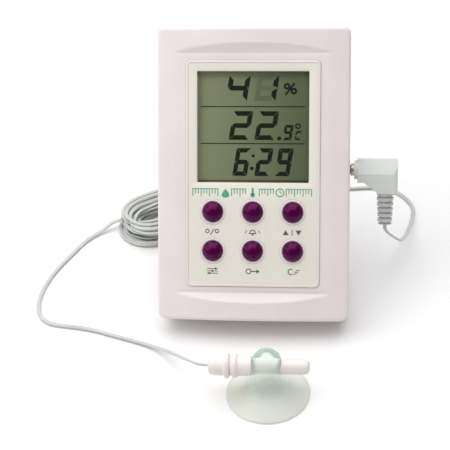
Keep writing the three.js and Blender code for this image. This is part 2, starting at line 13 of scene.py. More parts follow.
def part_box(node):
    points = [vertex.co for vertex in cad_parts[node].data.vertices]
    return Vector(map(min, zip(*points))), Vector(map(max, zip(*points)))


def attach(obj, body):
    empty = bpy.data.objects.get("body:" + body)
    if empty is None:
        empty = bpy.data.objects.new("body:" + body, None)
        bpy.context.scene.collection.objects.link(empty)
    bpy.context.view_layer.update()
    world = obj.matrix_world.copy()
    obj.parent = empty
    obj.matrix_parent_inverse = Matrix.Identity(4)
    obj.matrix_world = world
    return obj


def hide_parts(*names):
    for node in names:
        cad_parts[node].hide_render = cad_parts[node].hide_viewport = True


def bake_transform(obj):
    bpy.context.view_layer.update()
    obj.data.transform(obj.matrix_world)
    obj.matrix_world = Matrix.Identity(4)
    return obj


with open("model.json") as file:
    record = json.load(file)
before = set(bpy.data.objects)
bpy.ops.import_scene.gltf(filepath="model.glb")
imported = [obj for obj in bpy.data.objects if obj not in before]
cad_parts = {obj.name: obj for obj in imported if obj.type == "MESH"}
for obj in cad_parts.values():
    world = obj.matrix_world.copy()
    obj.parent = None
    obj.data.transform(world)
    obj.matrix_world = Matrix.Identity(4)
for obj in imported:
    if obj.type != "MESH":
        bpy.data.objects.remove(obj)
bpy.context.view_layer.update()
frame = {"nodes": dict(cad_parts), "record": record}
scene = bpy.context.scene
nodes = frame["nodes"]
MM = 0.001


# ---------------------------------------------------------------- the case's own axes, from the frame
# Case coordinates are millimetres: u to the right, v up the sloping front, n out of it from the back face.

def mount(name):
    return next(m for m in frame["record"]["mounts"] if m["name"] == name)


OUTWARD = -Vector(mount("case_back")["axis"])
UP_FACE = OUTWARD.cross(Vector((1, 0, 0)))
BACK_POINT = Vector((20, 75, 0)) * MM
CASE_ORIGIN = (Vector(mount("case_back")["pos_m"]) - BACK_POINT.x * Vector((1, 0, 0))
               - BACK_POINT.y * UP_FACE)
CASE = Matrix.Translation(CASE_ORIGIN) @ Matrix(((1, 0, 0), UP_FACE, OUTWARD)).transposed().to_4x4()

# The plug's own axes: x out of the jack, and its arm turned forward from straight down the case.
JACK_V, JACK_N, PLUG_SWING, RELIEF_X = 56.6, 6.6, 10, 49.4
PLUG = (CASE @ Matrix.Translation(Vector((0, JACK_V, JACK_N)) * MM)
        @ Matrix.Rotation(math.radians(PLUG_SWING), 4, "X"))
ALONG_X = Matrix.Rotation(math.radians(90), 4, "Y")
PROBE_Y, PROBE_Z, PROBE_LEFT, PROBE_TIP = -66.1, 14, -14, 22.8
PROBE = Matrix.Translation(Vector((0, PROBE_Y, PROBE_Z)) * MM)

# ---------------------------------------------------------------- camera

CAMERA_AZIMUTH, CAMERA_ELEVATION, CAMERA_ROLL = 7.175, 40.368, -4.05
CAMERA_TARGET = Vector((-13.3, 5.5, 19.4)) * MM
CAMERA_DISTANCE = 578.4 * MM
CAMERA_SENSOR, CAMERA_LENS = 36, 116.84


def make_camera():
    a, e, r = (math.radians(x) for x in (CAMERA_AZIMUTH, CAMERA_ELEVATION, CAMERA_ROLL))
    back = Vector((math.sin(a) * math.cos(e), -math.cos(a) * math.cos(e), math.sin(e)))
    right = Vector((math.cos(a), math.sin(a), 0))
    up = back.cross(right)
    tilted_right = math.cos(r) * right + math.sin(r) * up
    tilted_up = back.cross(tilted_right)
    data = bpy.data.cameras.new("camera")
    data.sensor_width, data.lens = CAMERA_SENSOR, CAMERA_LENS
    camera = bpy.data.objects.new("camera", data)
    turn = Matrix((tilted_right, tilted_up, back)).transposed().to_4x4()
    camera.matrix_world = Matrix.Translation(CAMERA_TARGET + CAMERA_DISTANCE * back) @ turn
    scene.collection.objects.link(camera)
    scene.camera = camera


make_camera()


# ---------------------------------------------------------------- mesh building

class Shell:
    """Points in millimetres and the faces between them, put together loop by loop."""

    def __init__(self):
        self.points = []
        self.faces = []

    def loop(self, points):
        first = len(self.points)
        self.points.extend(points)
        return list(range(first, len(self.points)))

    def band(self, a, b):
        """A strip of quads between two loops of as many points."""
        for i in range(len(a)):
            j = (i + 1) % len(a)
            self.faces.append((a[i], a[j], b[j], b[i]))

    def bands(self, loops):
        """A strip between each loop of points and the next."""
        made = [self.loop(points) for points in loops]
        for a, b in zip(made, made[1:]):
            self.band(a, b)
        return made

    def cap(self, loop):
        """Closes a loop round a point at its middle."""
        middle = sum((Vector(self.points[i]) for i in loop), Vector()) / len(loop)
        centre = self.loop([tuple(middle)])[0]
        for i, point in enumerate(loop):
            self.faces.append((point, loop[(i + 1) % len(loop)], centre))

    def plane(self, outer, holes, n):
        """Fills a flat outline, less its holes, at height n."""
        flat, edges = [], []
        for outline in [outer] + holes:
            first = len(flat)
            flat.extend(Vector(p[:2]) for p in outline)
            edges.extend((first + i, first + (i + 1) % len(outline)) for i in range(len(outline)))
        points, _, triangles, *_ = delaunay_2d_cdt(flat, edges, [], 0, 1e-5)
        made = self.loop([(p.x, p.y, n) for p in points])
        for triangle in triangles:
            middle = sum((points[i] for i in triangle), Vector((0, 0))) / 3
            if inside(middle, outer) and not any(inside(middle, hole) for hole in holes):
                self.faces.append(tuple(made[i] for i in triangle))

    def object(self, name, material, place=None, sharp=35, weld=0.001):
        mesh = bpy.data.meshes.new(name)
        mesh.from_pydata([Vector(p) * MM for p in self.points], [], self.faces)
        work = bmesh.new()
        work.from_mesh(mesh)
        bmesh.ops.remove_doubles(work, verts=work.verts, dist=weld * MM)
        bmesh.ops.recalc_face_normals(work, faces=work.faces)
        work.to_mesh(mesh)
        work.free()
        return add_object(name, mesh, material, place, sharp)


def inside(point, outline):
    """Whether a flat point lies inside an outline."""
    x, y = point[0], point[1]
    crossings = False
    for (x0, y0, *_), (x1, y1, *_) in zip(outline, outline[1:] + outline[:1]):
        if (y0 > y) != (y1 > y) and x < x0 + (y - y0) * (x1 - x0) / (y1 - y0):
            crossings = not crossings
    return crossings


def add_object(name, mesh, material, place, sharp):
    mesh.shade_smooth()
    mesh.set_sharp_from_angle(angle=math.radians(sharp))
    piece = bpy.data.objects.new(name, mesh)
    piece.matrix_world = place or Matrix.Identity(4)
    scene.collection.objects.link(piece)
    piece.data.materials.append(material)
    return piece


def stand_for(piece, body, slot, *replaced):
    """The piece rides on a body and stands for CAD nodes, which it hides; the slot is not used."""
    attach(piece, body)
    if replaced:
        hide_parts(*replaced)


def rounded_loop(u0, u1, v0, v1, low, high=None, n=0.0, corner=10, side=(1, 1)):
    """A rectangle with corners of radius low and high, anticlockwise from the lower right.

    corner counts the steps round a corner, and side the steps along u and along v.
    """
    high = low if high is None else high
    corners = [
        (u1 - low, v0 + low, low, -90), (u1 - high, v1 - high, high, 0),
        (u0 + high, v1 - high, high, 90), (u0 + low, v0 + low, low, 180),
    ]
    points = []
    for k, (u, v, radius, start) in enumerate(corners):
        arc = []
        for i in range(corner + 1):
            angle = math.radians(start + 90 * i / corner)
            arc.append((u + radius * math.cos(angle), v + radius * math.sin(angle), n))
        if points:
            points.extend(between(points[-1], arc[0], side[k % 2]))
        points.extend(arc)
    points.extend(between(points[-1], points[0], side[0]))
    return points


def between(a, b, steps):
    """The points that divide a line into equal steps, without its ends."""
    return [tuple(Vector(a).lerp(Vector(b), i / steps)) for i in range(1, steps)]


def circle(u, v, radius, n, sides):
    turn = 2 * math.pi / sides
    return [(u + radius * math.cos(i * turn), v + radius * math.sin(i * turn), n) for i in range(sides)]


def rounded_line(points, radius, steps=5):
    """An outline with its inner corners rounded off."""
    points = [Vector(p) for p in points]
    made = [points[0]]
    for before, corner, after in zip(points, points[1:], points[2:]):
        back, on = before - corner, after - corner
        reach = min(radius, 0.45 * back.length, 0.45 * on.length)
        start, end = corner + back.normalized() * reach, corner + on.normalized() * reach
        for i in range(steps + 1):
            t = i / steps
            made.append((1 - t) ** 2 * start + 2 * t * (1 - t) * corner + t ** 2 * end)
    made.append(points[-1])
    return made


def turned(name, profile, material, place, radius, sides=64, sharp=35):
    """A turned piece: a profile of (reach, height) points about the place's own Z, its corners rounded."""
    shell = Shell()
    line = rounded_line(profile, radius)
    made = shell.bands([circle(0, 0, max(reach, 0.001), height, sides) for reach, height in line[1:-1]])
    shell.cap(made[0])
    shell.cap(made[-1])
    return shell.object(name, material, place, sharp)


# ---------------------------------------------------------------- materials

def srgb(red, green, blue):
    """A colour from 0-255 display values, in linear light."""
    def linear(value):
        value /= 255
        return value / 12.92 if value <= 0.04045 else ((value + 0.055) / 1.055) ** 2.4
    return (linear(red), linear(green), linear(blue), 1)


def shade(color, factor):
    return tuple(min(1, c * factor) for c in color[:3]) + (1,)


class Finish:
    """A material whose colour, gloss and relief all vary, with calls that add the nodes."""

    def __init__(self, name, roughness, metallic=0.0):
        self.material = bpy.data.materials.new(name)
        self.material.use_nodes = True
        self.tree = self.material.node_tree
        self.shader = self.tree.nodes["Principled BSDF"]
        self.shader.inputs["Roughness"].default_value = roughness
        self.shader.inputs["Metallic"].default_value = metallic
        self.place = self.node("ShaderNodeTexCoord").outputs["Object"]
        self.normal = None

    def node(self, kind, **values):
        made = self.tree.nodes.new(kind)
        for key, value in values.items():
            setattr(made, key, value)
        return made

    def link(self, output, socket):
        self.tree.links.new(output, socket)

    def set(self, **values):
        for key, value in values.items():
            self.shader.inputs[key.replace("_", " ")].default_value = value
        return self

    def noise(self, size, detail, stretch=(1, 1, 1)):
        """Noise with features about size millimetres across."""
        mapping = self.node("ShaderNodeMapping")
        mapping.inputs["Scale"].default_value = stretch
        self.link(self.place, mapping.inputs["Vector"])
        texture = self.node("ShaderNodeTexNoise")
        texture.inputs["Scale"].default_value = 1 / (size * MM)
        texture.inputs["Detail"].default_value = detail
        self.link(mapping.outputs["Vector"], texture.inputs["Vector"])
        return texture.outputs["Fac"]

    def ramp(self, value, low, high, to_low=0.0, to_high=1.0):
        scale = self.node("ShaderNodeMapRange", interpolation_type="SMOOTHSTEP")
        for key, number in zip(("From Min", "From Max", "To Min", "To Max"), (low, high, to_low, to_high)):
            scale.inputs[key].default_value = number
        self.link(value, scale.inputs["Value"])
        return scale.outputs["Result"]

    def blend(self, factor, first, second):
        """A colour between two, each a colour or another node's output."""
        mix = self.node("ShaderNodeMix", data_type="RGBA")
        self.link(factor, mix.inputs["Factor"])
        for socket, value in zip(("A", "B"), (first, second)):
            target = next(i for i in mix.inputs if i.name == socket and i.type == "RGBA")
            if isinstance(value, tuple):
                target.default_value = value
            else:
                self.link(value, target)
        return next(o for o in mix.outputs if o.type == "RGBA")

    def mottle(self, color, spread=0.03, size=14.0, fleck=0.02, fleck_size=0.8):
        """Soft patches and fine flecks of lighter and darker colour."""
        cloud = self.ramp(self.noise(size, 3), 0.3, 0.7)
        patches = self.blend(cloud, shade(color, 1 - spread), shade(color, 1 + spread))
        flecks = self.ramp(self.noise(fleck_size, 2), 0.62, 0.72, 0, 0.5)
        speckled = self.blend(flecks, patches, shade(color, 1 - 2 * fleck))
        self.link(speckled, self.shader.inputs["Base Color"])

    def gloss(self, low, high, size=6.0):
        """Gloss that varies with handling."""
        self.link(self.ramp(self.noise(size, 4), 0.3, 0.7, low, high), self.shader.inputs["Roughness"])

    def grain(self, size, depth, stretch=(1, 1, 1)):
        """Relief with features of a size and a depth, in millimetres."""
        bump = self.node("ShaderNodeBump")
        bump.inputs["Strength"].default_value = 1.0
        bump.inputs["Distance"].default_value = depth * MM
        self.link(self.noise(size, 3.0, stretch), bump.inputs["Height"])
        if self.normal is not None:
            self.link(self.normal, bump.inputs["Normal"])
        self.normal = bump.outputs["Normal"]
        self.link(self.normal, self.shader.inputs["Normal"])

    def mixed(self, factor, first, second):
        """Ends the material in a mix of two shaders."""
        mix = self.node("ShaderNodeMixShader")
        self.link(factor, mix.inputs["Fac"])
        self.link(first.outputs["BSDF"], mix.inputs[1])
        self.link(second.outputs["BSDF"], mix.inputs[2])
        self.link(mix.outputs["Shader"], self.tree.nodes["Material Output"].inputs["Surface"])
        return self.material


def moulded(name, color, low=0.38, high=0.5, grain=0.35, depth=0.01, spread=0.02):
    """Moulded plastic: a fine even grain, slight clouding, and gloss that wanders from low to high."""
    finish = Finish(name, low)
    finish.mottle(color, spread)
    finish.gloss(low, high)
    finish.grain(grain, depth)
    finish.grain(22, 0.05)
    return finish


CASE_COLOR = srgb(234, 222, 223)
CREAM = srgb(234, 229, 217)

case_plastic = moulded("case plastic", CASE_COLOR, 0.4, 0.52, 0.3, 0.012).material
rear_plastic = moulded("case plastic, rear", shade(CASE_COLOR, 0.98), 0.45, 0.58, 0.45, 0.03).material
fascia_plastic = moulded("fascia panel", CREAM, 0.3, 0.4, 0.22, 0.006, 0.012).material


def make_display_finish():
    """The liquid crystal cell: olive, with painted light and shade that run from lighter at its left to
    darker towards its right, and the faint weave of its electrodes.
    """
    finish = Finish("display", 0.16).set(Specular_IOR_Level=0.12)
    split = finish.node("ShaderNodeSeparateXYZ")
    finish.link(finish.place, split.inputs["Vector"])
    # Painted light and shade: the cell's colour is lighter at its left and darker towards its right.
    across = finish.ramp(split.outputs["X"], -24 * MM, 34 * MM)
    painted_light_to_shade = finish.blend(across, srgb(180, 184, 146), srgb(108, 121, 88))
    cloud = finish.blend(finish.ramp(finish.noise(9, 2), 0.3, 0.7, 0, 0.15), painted_light_to_shade, srgb(140, 148, 116))
    finish.link(cloud, finish.shader.inputs["Base Color"])
    finish.gloss(0.12, 0.22, 4)
    finish.grain(0.3, 0.003)
    return finish.material


def make_clear_finish(name, tint, roughness, ior):
    """A thin clear pane: light goes straight through, and only its faces shine."""
    finish = Finish(name, roughness)
    through = finish.node("ShaderNodeBsdfTransparent")
    through.inputs["Color"].default_value = tint
    gleam = finish.node("ShaderNodeBsdfGlossy")
    smear = finish.ramp(finish.noise(5, 4), 0.3, 0.7, roughness, 2.5 * roughness)
    finish.link(smear, gleam.inputs["Roughness"])
    edge = finish.node("ShaderNodeFresnel")
    edge.inputs["IOR"].default_value = ior
    return finish.mixed(edge.outputs["Fac"], through, gleam)


def make_soft_clear_finish():
    """Soft clear PVC: misted by plasticiser on the thin disc, clearer and greener in the thick head."""
    finish = Finish("clear soft PVC", 0.2)
    split = finish.node("ShaderNodeSeparateXYZ")
    finish.link(finish.place, split.inputs["Vector"])
    height = split.outputs["Z"]
    mist = finish.blend(finish.ramp(height, 2 * MM, 7 * MM), srgb(248, 246, 238), srgb(230, 250, 238))
    cloud = finish.blend(finish.ramp(finish.noise(7, 3), 0.3, 0.7, 0, 0.5), mist, srgb(242, 248, 242))
    finish.link(cloud, finish.shader.inputs["Base Color"])
    finish.gloss(0.12, 0.26, 4)
    finish.set(Specular_IOR_Level=0.3)
    finish.grain(6, 0.02)
    through = finish.node("ShaderNodeBsdfTransparent")
    through.inputs["Color"].default_value = (0.985, 0.998, 0.988, 1)
    edge = finish.node("ShaderNodeFresnel")
    edge.inputs["IOR"].default_value = 1.3
    whole = finish.node("ShaderNodeMath", operation="ADD")
    finish.link(edge.outputs["Fac"], whole.inputs[0])
    finish.link(finish.ramp(height, 3 * MM, 9 * MM, 0.42, 0.17), whole.inputs[1])
    return finish.mixed(whole.outputs["Value"], through, finish.shader)


def make_metal_finish(name, color, low, high, turned_marks=(1, 1, 1)):
    finish = Finish(name, low, 1.0)
    finish.mottle(color, 0.06, 2.5, 0.05, 0.4)
    finish.gloss(low, high, 1.5)
    finish.grain(0.25, 0.01, turned_marks)
    return finish.material


def make_lead_finish():
    """Soft PVC insulation, slightly soiled, with the faint lay of the strands under it."""
    finish = moulded("lead insulation", srgb(197, 200, 197), 0.36, 0.5, 0.5, 0.012, 0.05)
    finish.grain(2.6, 0.05)
    finish.set(Subsurface_Weight=0.06, Subsurface_Scale=0.6 * MM)
    finish.shader.inputs["Subsurface Radius"].default_value = (1, 0.9, 0.8)
    return finish.material


display_glass = make_display_finish()
clear_pane = make_clear_finish("clear window", (0.97, 0.98, 0.97, 1), 0.03, 1.25)
soft_clear = make_soft_clear_finish()
lead_plastic = make_lead_finish()
nickel = make_metal_finish("nickel plate", srgb(214, 206, 192), 0.16, 0.3, (0.05, 1, 1))
button_finish = moulded("button", srgb(66, 0, 50), 0.13, 0.2, 0.5, 0.005, 0.08)
button_finish.set(Specular_IOR_Level=0.5, Specular_Tint=(0.95, 0.15, 0.75, 1))
button_rubber = button_finish.material
plug_plastic = moulded("plug moulding", srgb(216, 220, 216), 0.34, 0.46, 0.4, 0.014, 0.03).material
relief_plastic = moulded("strain relief", srgb(198, 201, 198), 0.4, 0.52, 0.4, 0.014, 0.04).material
probe_plastic = moulded("probe housing", srgb(238, 227, 225), 0.3, 0.42, 0.4, 0.01, 0.02).material
lit_segments = moulded("display segments", srgb(27, 42, 28), 0.3, 0.4, 0.3, 0.001, 0.04)
segment_ink = lit_segments.set(Specular_IOR_Level=0.1).material
unlit_segments = moulded("unlit segments", srgb(132, 144, 108), 0.3, 0.4, 0.3, 0.001, 0.04)
ghost_ink = unlit_segments.set(Specular_IOR_Level=0.1).material
teal_ink = moulded("teal ink", srgb(84, 168, 144), 0.35, 0.5, 0.25, 0.004, 0.06).material
grey_ink = moulded("grey ink", srgb(92, 88, 86), 0.35, 0.5, 0.25, 0.004, 0.06).material
tie_plastic = moulded("tie", srgb(238, 238, 234), 0.35, 0.5, 0.3, 0.01, 0.03).material

# The pieces inside, by material slot: colour, roughness, metal or not.
INNER_LOOKS = {
    "reflector": ((176, 182, 158), 0.3, 0), "white_plastic": ((236, 236, 232), 0.45, 0),
    "elastomer": ((70, 70, 74), 0.75, 0), "board": ((44, 108, 62), 0.4, 0), "epoxy": ((26, 26, 28), 0.3, 0),
    "metal_can": ((200, 200, 204), 0.3, 1), "brass": ((214, 178, 96), 0.32, 1),
    "black_plastic": ((34, 34, 36), 0.4, 0), "silicone": ((186, 188, 192), 0.6, 0),
    "battery_wrap": ((58, 84, 128), 0.35, 0), "spring_steel": ((196, 198, 202), 0.28, 1),
    "screw_steel": ((188, 190, 194), 0.3, 1), "probe_plastic": ((240, 230, 228), 0.4, 0),
}


def inner_finish(slot):
    """The finish for a slot, made once."""
    made = bpy.data.materials.get("inner " + slot)
    if made is None:
        color, roughness, metal = INNER_LOOKS[slot]
        if metal:
            made = make_metal_finish("inner " + slot, srgb(*color), roughness, roughness + 0.15)
        else:
            finish = moulded("inner " + slot, srgb(*color), roughness, roughness + 0.12, 0.4, 0.015, 0.05)
            made = finish.material
    return made


# ---------------------------------------------------------------- the lead
# Its two loose ends follow these points. Between them it is wound into the hank.

LEAD_WIDTH, LEAD_THICK = 1.55, 1.1
PLUG_SIDE_ROUTE = [
    (0.0494, -0.0053, 0.0299), (0.0495, -0.0061, 0.0282), (0.0505, -0.0058, 0.0262),
    (0.052, -0.0044, 0.0236), (0.0539, -0.002, 0.02), (0.0557, 0.0016, 0.016), (0.0575, 0.0083, 0.0118),
    (0.0591, 0.0169, 0.0076), (0.0605, 0.0257, 0.004), (0.0615, 0.0334, 0.0017), (0.0617, 0.039, 0.0009),
    (0.0602, 0.0433, 0.0009), (0.0574, 0.0472, 0.0009), (0.054, 0.0502, 0.0009), (0.0494, 0.052, 0.0009),
    (0.043, 0.0526, 0.0009), (0.036, 0.0519, 0.0009), (0.027, 0.0502, 0.0009), (0.016, 0.048, 0.0009),
    (0.005, 0.047, 0.0009), (-0.004, 0.0483, 0.0011), (-0.012, 0.0503, 0.0017), (-0.018, 0.0515, 0.0025),
    (-0.0235, 0.0518, 0.0034),
]
PROBE_SIDE_ROUTE = [
    (-0.0629, 0.0249, 0.0032), (-0.0666, 0.0222, 0.0016), (-0.0724, 0.0165, 0.0009),
    (-0.0776, 0.0073, 0.0009), (-0.0826, -0.0031, 0.0009), (-0.085, -0.0107, 0.0009),
    (-0.086, -0.0171, 0.0009), (-0.0858, -0.0231, 0.0009), (-0.0838, -0.0291, 0.0009),
    (-0.08, -0.0325, 0.0009), (-0.0745, -0.0339, 0.0009), (-0.068, -0.0348, 0.0009),
    (-0.0608, -0.0364, 0.0009), (-0.053, -0.039, 0.0009), (-0.0453, -0.0416, 0.0009),
    (-0.0392, -0.0441, 0.0013), (-0.0336, -0.0475, 0.0026), (-0.0286, -0.0521, 0.005),
    (-0.0244, -0.0573, 0.0082), (-0.0208, -0.0619, 0.0114), (-0.0178, -0.0651, 0.0134),
    (-0.0143, -0.0661, 0.014),
]
# The hank's middle line is two straights and two half circles. Its turns keep to places in the bundle.
HANK = {"turns": 15, "straight": 23, "radius": 9.2, "bundle": 10, "low": 1.2, "high": 9.6}
HANK_PLACE = Matrix.Translation((-47.6, 25.8, 0)) @ Matrix.Rotation(math.radians(29), 4, "Z")
HANK_STEP = 2


def hank_place(along, out, height):
    """A point so far along the hank's middle line, anticlockwise from the rear right, and so far out."""
    straight, arc = HANK["straight"], math.pi * HANK["radius"]
    along %= 2 * (straight + arc)
    radius = HANK["radius"] + out
    if along < straight:
        return Vector((straight - along, radius, height))
    along -= straight
    if along < arc:
        angle = math.pi / 2 + along / HANK["radius"]
        return Vector((radius * math.cos(angle), radius * math.sin(angle), height))
    along -= arc
    if along < straight:
        return Vector((along, -radius, height))
    angle = -math.pi / 2 + (along - straight) / HANK["radius"]
    return Vector((straight + radius * math.cos(angle), radius * math.sin(angle), height))


def hank_turns():
    """The wound turns, each wandering between places in the bundle, a point at every step."""
    chance = random.Random(11)
    lap = 2 * (HANK["straight"] + math.pi * HANK["radius"])
    # The winding starts on the right end's curve, and stops just past the middle of the left end's.
    start, end = -10.0, HANK["straight"] + math.radians(95) * HANK["radius"]
    heights, outs = (1.6, 3.4, 5.2, 7, 8.6), (-4.8, -1.9, 1, 3.5)
    slots = [(out, height) for height in heights for out in outs]
    order = chance.sample(slots, len(slots))
    stations = []
    for swaps in (16, 24, 24, 16):
        for _ in range(swaps):
            k = chance.randrange(len(order) - 1)
            order[k], order[k + 1] = order[k + 1], order[k]
        stations.append(list(order))
    total = HANK["turns"] * lap + end - start
    points = []
    for i in range(int(total / HANK_STEP)):
        along = start + HANK_STEP * i
        quarter = 4 * (along % lap) / lap
        turn, share = int((along - start) // lap), quarter % 1
        share = share * share * (3 - 2 * share)
        here = stations[int(quarter)][turn % len(slots)]
        there = stations[(int(quarter) + 1) % 4][turn % len(slots)]
        out = here[0] + (there[0] - here[0]) * share
        height = here[1] + (there[1] - here[1]) * share
        points.append(hank_place(along, out, height))
    return [HANK_PLACE @ p for p in settle_turns(np.array(points))]


# How the turns settle: each round's share of the push, the pull and the way home, and its fall.
SETTLING = {"rounds": 90, "last": 12, "apart": 1.5, "push": 0.3, "pull": 0.2, "last_pull": 0.1, "home": 0.05,
            "fall": 0.015}
# Their middles may lie this far past the bundle's inner side and bottom, and this far inside the others.
MARGIN = {"inner": 0.6, "bottom": 0.2, "outer": 0.85, "top": 0.8}


def settle_turns(points):
    """Pushes turns that touch apart and lets them fall together, inside the hank's own outline."""
    rounds, apart, held = SETTLING["rounds"], SETTLING["apart"], 2
    home = points[:, :2].copy()
    index = np.arange(len(points))
    far_along = np.abs(index[:, None] - index[None, :]) > 3
    inner = HANK["radius"] - HANK["bundle"] / 2 - MARGIN["inner"]
    outer = HANK["radius"] + HANK["bundle"] / 2 - MARGIN["outer"]
    bottom, top = HANK["low"] - MARGIN["bottom"], HANK["high"] - MARGIN["top"]
    ends = points[:held].copy(), points[-held:].copy()
    for step in range(rounds):
        gap = points[:, None, :] - points[None, :, :]
        distance = np.linalg.norm(gap, axis=2) + 1e-9
        push = np.where((distance < apart) & far_along, (apart - distance) / distance, 0)
        points += SETTLING["push"] * (push[:, :, None] * gap).sum(axis=1)
        pull = (points[:-2] + points[2:]) / 2 - points[1:-1]
        points[1:-1] += SETTLING["pull" if step < rounds - SETTLING["last"] else "last_pull"] * pull
        points[:, :2] += SETTLING["home"] * (home - points[:, :2])
        points[:, 2] = np.clip(points[:, 2] - SETTLING["fall"], bottom, top)
        middle_x = np.clip(points[:, 0], 0, HANK["straight"])
        arm = np.stack([points[:, 0] - middle_x, points[:, 1]], axis=1)
        reach = np.linalg.norm(arm, axis=1) + 1e-9
        arm *= (np.clip(reach, inner, outer) / reach)[:, None]
        points[:, 0], points[:, 1] = middle_x + arm[:, 0], arm[:, 1]
        points[:held], points[-held:] = ends
    return [Vector(p) for p in points]


def smooth_line(points, step):
    """Points a step apart on one smooth curve through the given ones."""
    gaps = [(b - a).length for a, b in zip(points, points[1:])]
    times = [0.0]
    for gap in gaps:
        times.append(times[-1] + gap)
    last = len(points) - 1
    slopes = []
    for i in range(len(points)):
        a, b = max(i - 1, 0), min(i + 1, last)
        slopes.append((points[b] - points[a]) / (times[b] - times[a]))
    fine = []
    for i, gap in enumerate(gaps):
        pieces = max(2, round(gap / 0.4))
        for k in range(pieces):
            t = k / pieces
            fine.append((2 * t**3 - 3 * t**2 + 1) * points[i] + (t**3 - 2 * t**2 + t) * gap * slopes[i]
                        + (3 * t**2 - 2 * t**3) * points[i + 1] + (t**3 - t**2) * gap * slopes[i + 1])
    fine.append(points[-1])
    even, walked = [fine[0]], 0.0
    for a, b in zip(fine, fine[1:]):
        walked += (b - a).length
        if walked >= step:
            even.append(b)
            walked = 0.0
    return even


# The lead rolls gently about its length in three waves, each a reach in radians and its steps per radian.
ROLLS = ((0.42, 13), (0.32, 5.3), (0.25, 29))


def make_lead():
    """One flat twin lead, from the plug, through the hank, to a point inside the probe's cap."""
    chance = random.Random(4)
    first = [Vector(p) / MM for p in PLUG_SIDE_ROUTE]
    last = [Vector(p) / MM for p in PROBE_SIDE_ROUTE] + [Vector((PROBE_LEFT + 2, PROBE_Y, PROBE_Z))]
    line = smooth_line(first + hank_turns()[1:-1] + last, step=1.2)
    phases = [chance.uniform(0, 2 * math.pi) for _ in ROLLS]
    across = Vector((1, 0, 0))
    shell = Shell()
    loops = []
    for i, point in enumerate(line):
        ahead = (line[min(i + 1, len(line) - 1)] - line[max(i - 1, 0)]).normalized()
        across = (across - across.dot(ahead) * ahead).normalized()
        level = ahead.cross(Vector((0, 0, 1)))
        level = level if level.dot(across) > 0 else -level
        across = (across + 0.12 * level).normalized()
        roll = sum(reach * math.sin(i / steps + phase) for (reach, steps), phase in zip(ROLLS, phases))
        turn = Matrix.Rotation(roll, 3, ahead)
        wide, thick = turn @ across, turn @ across.cross(ahead)
        loops.append([tuple(point + wide * a + thick * b) for a, b in LEAD_SECTION])
    made = shell.bands(loops)
    shell.cap(made[0])
    shell.cap(made[-1])
    return shell.object("lead", lead_plastic, sharp=60), [p * MM for p in line]


def twin_section(sides=14):
    """A flat twin lead's section, with a shallow groove between its two cores."""
    points = []
    for i in range(sides):
        angle = 2 * math.pi * (i + 0.5) / sides
        waist = 1 - 0.3 * math.exp(-(math.cos(angle) / 0.4) ** 2)
        points.append((LEAD_WIDTH / 2 * math.cos(angle), LEAD_THICK / 2 * math.sin(angle) * waist))
    return points


LEAD_SECTION = twin_section()
lead, lead_path = make_lead()


def make_tie():
    """A ribbed plastic tie round the hank, with a wire along its middle."""
    reach, low, high = HANK["radius"] + HANK["bundle"] / 2 + 0.6, 0.4, HANK["high"] + 0.6
    half_width, ribs = 1.9, 9
    outer, inner = (rounded_loop(-reach + t, reach - t, low + t, high - t, 3.2 - t, corner=8, side=(24, 6))
                    for t in (0, 0.4))
    rows = []
    for k in range(ribs + 1):
        across = half_width * (2 * k / ribs - 1)
        wire = 0.3 * math.exp(-(across / 0.45) ** 2)
        rows.append([(across, y, z + (wire if z > 6 else -wire)) for y, z, _ in outer])
    for across in (half_width, -half_width):
        rows.append([(across, y, z) for y, z, _ in inner])
    shell = Shell()
    made = shell.bands(rows)
    shell.band(made[-1], made[0])
    at_the_end = HANK_PLACE @ Matrix.Translation((HANK["straight"], 0, 0))
    place = Matrix.Scale(MM, 4) @ at_the_end @ Matrix.Scale(1 / MM, 4)
    stand_for(shell.object("hank_tie_band", tie_plastic, place, 50), "housing", "tie_white", "hank_tie")


# ---------------------------------------------------------------- the case's front

BODY = {"half": 36, "height": 110, "low_corner": 3.4, "high_corner": 2.5, "edge": 1.3, "split": 10.65}
PANEL_FLOOR = 18.2
CROWN, CROWN_HALF = 1.8, 28.6
SCOOP = {"low": 11.7, "high": 99.3, "reach": 4.8, "foot": 0.22, "dip": 0.15}
FASCIA = {"half": 25.1, "low": 12.9, "high": 97.6, "corner": 1.9, "back": 17.7, "front": 18.7}
WINDOW = {"half": 20.9, "low": 52.1, "high": 93.6}
BUTTON_PLACES = [(u, v) for v in (41.1, 26.4) for u in (-15, 0, 15)]


def body_outline(inset, n=0.0):
    half, top = BODY["half"] - inset, BODY["height"] - inset
    low = max(BODY["low_corner"] - inset, 0.3)
    high = max(BODY["high_corner"] - inset, 0.3)
    return rounded_loop(-half, half, inset, top, low, high, n, 12, (60, 80))


def front_height(u, v):
    """The crowned front, cut down to the sunk floor and up the two scoops at its ends."""
    crown = CROWN * (1 - (u / CROWN_HALF) ** 2)
    past = max(v - SCOOP["high"], SCOOP["low"] - v, 0) / SCOOP["reach"]
    foot, dip = SCOOP["foot"], SCOOP["dip"]
    rise = max((past - foot) / (1 - foot), 0) ** 1.2
    floor = (CROWN + dip) * rise - dip * min(past / foot, 1)
    soft = 0.09
    if abs(crown - floor) > 20 * soft:
        return PANEL_FLOOR + min(crown, floor)
    return PANEL_FLOOR - soft * math.log(math.exp(-crown / soft) + math.exp(-floor / soft))


def window_outline(out, n, radius, corner, side):
    """The window's outline, moved out so far on every side."""
    half, low, high = WINDOW["half"] + out, WINDOW["low"] - out, WINDOW["high"] + out
    return rounded_loop(-half, half, low, high, radius, None, n, corner, side)


